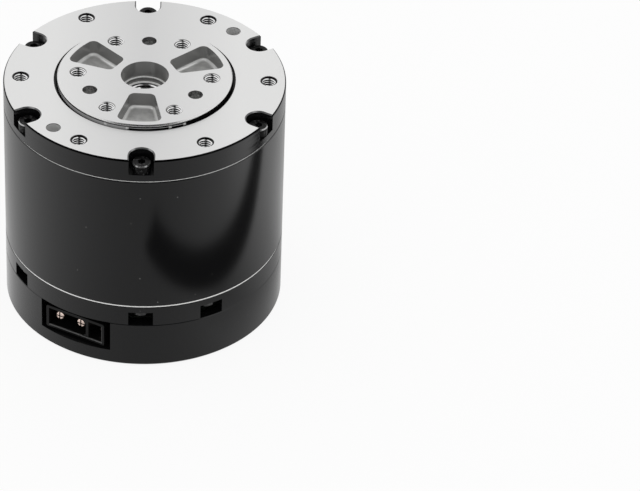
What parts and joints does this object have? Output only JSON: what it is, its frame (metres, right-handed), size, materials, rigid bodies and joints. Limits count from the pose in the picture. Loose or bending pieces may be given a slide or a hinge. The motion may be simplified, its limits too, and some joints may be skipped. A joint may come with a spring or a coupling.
{
  "type": "robot joint actuator",
  "caption": "Round geared robot joint actuator: black housing, pale end ring with a turning output flange, and a power and signal socket in its rear cover.",
  "frame": {"origin": "centre of the rear face, on the output axis", "axes": "+Z along the output axis towards the output flange; -Y is the side seen first in the picture, with a front screw notch in its middle and the socket to its left"},
  "size_m": [0.057, 0.057, 0.0521],
  "materials": {
    "machined_aluminium": "fine machined and clear anodised, its outer side black",
    "black_anodised": "smooth satin black anodised",
    "thread_steel": "bright wire thread",
    "black_screw_steel": "black oxide",
    "socket_plastic": "fine moulded",
    "contact_brass": "gold plated",
    "circuit_board": "solder mask",
    "chip_plastic": "moulded",
    "capacitor_can": "drawn can",
    "lamination_steel": "stacked sheet",
    "winding_copper": "enamelled wire",
    "bearing_steel": "ground",
    "cage_plastic": "moulded",
    "plain_steel": "turned",
    "magnet_nickel": "nickel plated",
    "gear_steel": "hobbed and oiled",
    "seal_rubber": "moulded"
  },
  "bodies": {
    "housing": {"front_housing": "machined_aluminium", "motor_housing": "black_anodised", "rear_housing": "black_anodised", "rear_cover": "black_anodised", "housing_thread_inserts": "thread_steel", "front_screws": "black_screw_steel", "rear_screws": "black_screw_steel", "cover_screws": "black_screw_steel", "socket_shell": "socket_plastic", "socket_power_pins": "contact_brass", "socket_signal_pins": "contact_brass", "driver_board": "circuit_board", "encoder_chip": "chip_plastic", "processor_chip": "chip_plastic", "power_transistors": "chip_plastic", "bus_capacitors": "capacitor_can", "stator_core": "lamination_steel", "stator_windings": "winding_copper", "phase_leads": "winding_copper", "rotor_bearing_outer_races": "bearing_steel", "output_bearing_outer_race": "bearing_steel", "rotor_bearing_spacer": "plain_steel", "bearing_preload_ring": "plain_steel", "grease_shield": "plain_steel", "retaining_ring": "plain_steel", "ring_gear": "gear_steel", "output_seal": "seal_rubber"},
    "rotor": {"rotor_bell": "plain_steel", "rotor_magnets": "magnet_nickel", "rotor_shaft": "gear_steel", "encoder_magnet": "magnet_nickel", "sun_gear_1": "gear_steel", "rotor_bearing_inner_races": "bearing_steel"},
    "stage1": {"stage1_carrier": "gear_steel", "stage1_pins": "gear_steel", "sun_gear_2": "gear_steel"},
    "output": {"output_flange": "machined_aluminium", "centre_thread": "thread_steel", "flange_thread_inserts": "thread_steel", "stage2_carrier_plate": "gear_steel", "stage2_pins": "gear_steel", "output_bearing_inner_race": "bearing_steel"},
    "output_bearing_rollers": {"output_bearing_balls": "bearing_steel", "output_bearing_cage": "cage_plastic"},
    "rotor_bearing_rollers": {"rotor_bearing_balls": "bearing_steel"},
    "planet_1_1": {"planet_gear_1_1": "gear_steel"},
    "planet_1_2": {"planet_gear_1_2": "gear_steel"},
    "planet_1_3": {"planet_gear_1_3": "gear_steel"},
    "planet_2_1": {"planet_gear_2_1": "gear_steel"},
    "planet_2_2": {"planet_gear_2_2": "gear_steel"},
    "planet_2_3": {"planet_gear_2_3": "gear_steel"}
  },
  "joints": [
    {"name": "rotor_spin", "type": "hinge", "parent": "housing", "child": "rotor", "pos_m": [0, 0, 0.02], "axis": [0, 0, 1], "continuous": true},
    {"name": "stage1_spin", "type": "hinge", "parent": "housing", "child": "stage1", "pos_m": [0, 0, 0.035], "axis": [0, 0, 1], "continuous": true},
    {"name": "output_spin", "type": "hinge", "parent": "housing", "child": "output", "pos_m": [0, 0, 0.05], "axis": [0, 0, 1], "continuous": true},
    {"name": "output_bearing_roll", "type": "hinge", "parent": "housing", "child": "output_bearing_rollers", "pos_m": [0, 0, 0.0439], "axis": [0, 0, 1], "continuous": true},
    {"name": "rotor_bearing_roll", "type": "hinge", "parent": "housing", "child": "rotor_bearing_rollers", "pos_m": [0, 0, 0.0195], "axis": [0, 0, 1], "continuous": true},
    {"name": "planet_1_1_spin", "type": "hinge", "parent": "stage1", "child": "planet_1_1", "pos_m": [0.01091, 0.0063, 0.0315], "axis": [0, 0, 1], "continuous": true},
    {"name": "planet_1_2_spin", "type": "hinge", "parent": "stage1", "child": "planet_1_2", "pos_m": [-0.01091, 0.0063, 0.0315], "axis": [0, 0, 1], "continuous": true},
    {"name": "planet_1_3_spin", "type": "hinge", "parent": "stage1", "child": "planet_1_3", "pos_m": [0, -0.0126, 0.0315], "axis": [0, 0, 1], "continuous": true},
    {"name": "planet_2_1_spin", "type": "hinge", "parent": "output", "child": "planet_2_1", "pos_m": [0.00062, 0.01259, 0.038], "axis": [0, 0, 1], "continuous": true},
    {"name": "planet_2_2_spin", "type": "hinge", "parent": "output", "child": "planet_2_2", "pos_m": [-0.01121, -0.00576, 0.038], "axis": [0, 0, 1], "continuous": true},
    {"name": "planet_2_3_spin", "type": "hinge", "parent": "output", "child": "planet_2_3", "pos_m": [0.01059, -0.00683, 0.038], "axis": [0, 0, 1], "continuous": true}
  ],
  "couplings": [
    {"joint": "stage1_spin", "follows": "rotor_spin", "ratio": 0.16667},
    {"joint": "output_spin", "follows": "rotor_spin", "ratio": 0.027778},
    {"joint": "output_bearing_roll", "follows": "rotor_spin", "ratio": 0.012731},
    {"joint": "rotor_bearing_roll", "follows": "rotor_spin", "ratio": 0.40625},
    {"joint": "planet_1_1_spin", "follows": "rotor_spin", "ratio": -0.41667},
    {"joint": "planet_1_2_spin", "follows": "rotor_spin", "ratio": -0.41667},
    {"joint": "planet_1_3_spin", "follows": "rotor_spin", "ratio": -0.41667},
    {"joint": "planet_2_1_spin", "follows": "rotor_spin", "ratio": -0.069444},
    {"joint": "planet_2_2_spin", "follows": "rotor_spin", "ratio": -0.069444},
    {"joint": "planet_2_3_spin", "follows": "rotor_spin", "ratio": -0.069444}
  ]
}
